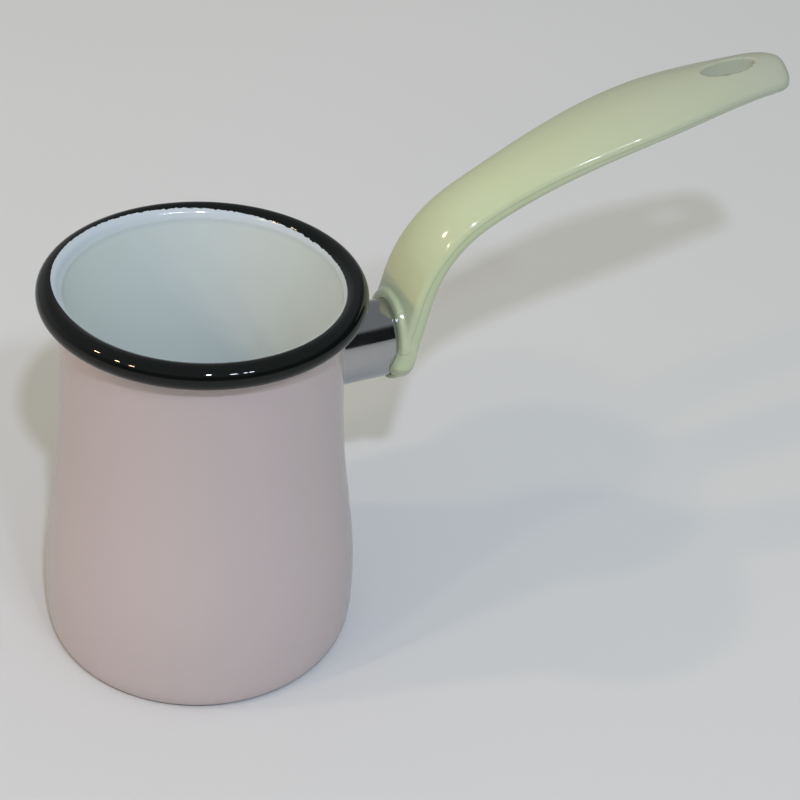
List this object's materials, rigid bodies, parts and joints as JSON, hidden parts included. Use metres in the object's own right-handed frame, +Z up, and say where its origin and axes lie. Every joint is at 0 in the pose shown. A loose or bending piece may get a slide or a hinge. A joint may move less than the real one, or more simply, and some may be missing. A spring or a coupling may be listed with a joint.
{
  "type": "turkish coffee pot",
  "caption": "Small tapered enamelled steel pot for boiling coffee, with a rolled dark rim and a long arched moulded handle on a steel ferrule, pierced for hanging.",
  "frame": {"origin": "centre of the flat base, on the pot's axis, where the pot stands", "axes": "+X from the pot's axis along the handle, +Z up along the pot's axis, +Y across the handle"},
  "size_m": [0.2048, 0.0824, 0.1417],
  "materials": {
    "ground_coated_steel": "dark fired ground coat on drawn sheet steel",
    "pink_enamel": "glossy pale pink vitreous enamel",
    "white_enamel": "glossy cool white vitreous enamel",
    "black_enamel": "glossy black vitreous enamel",
    "zinc_steel": "dull zinc plate",
    "stainless": "polished sheet",
    "handle_moulding": "glossy pale green cream thermoset moulding"
  },
  "bodies": {
    "root": {"body_shell": "ground_coated_steel", "outside_enamel": "pink_enamel", "inside_enamel": "white_enamel", "rim_enamel": "black_enamel", "weld_boss": "zinc_steel", "ferrule": "stainless", "handle": "handle_moulding", "handle_screw": "zinc_steel", "spring_washer": "zinc_steel"}
  },
  "joints": []
}
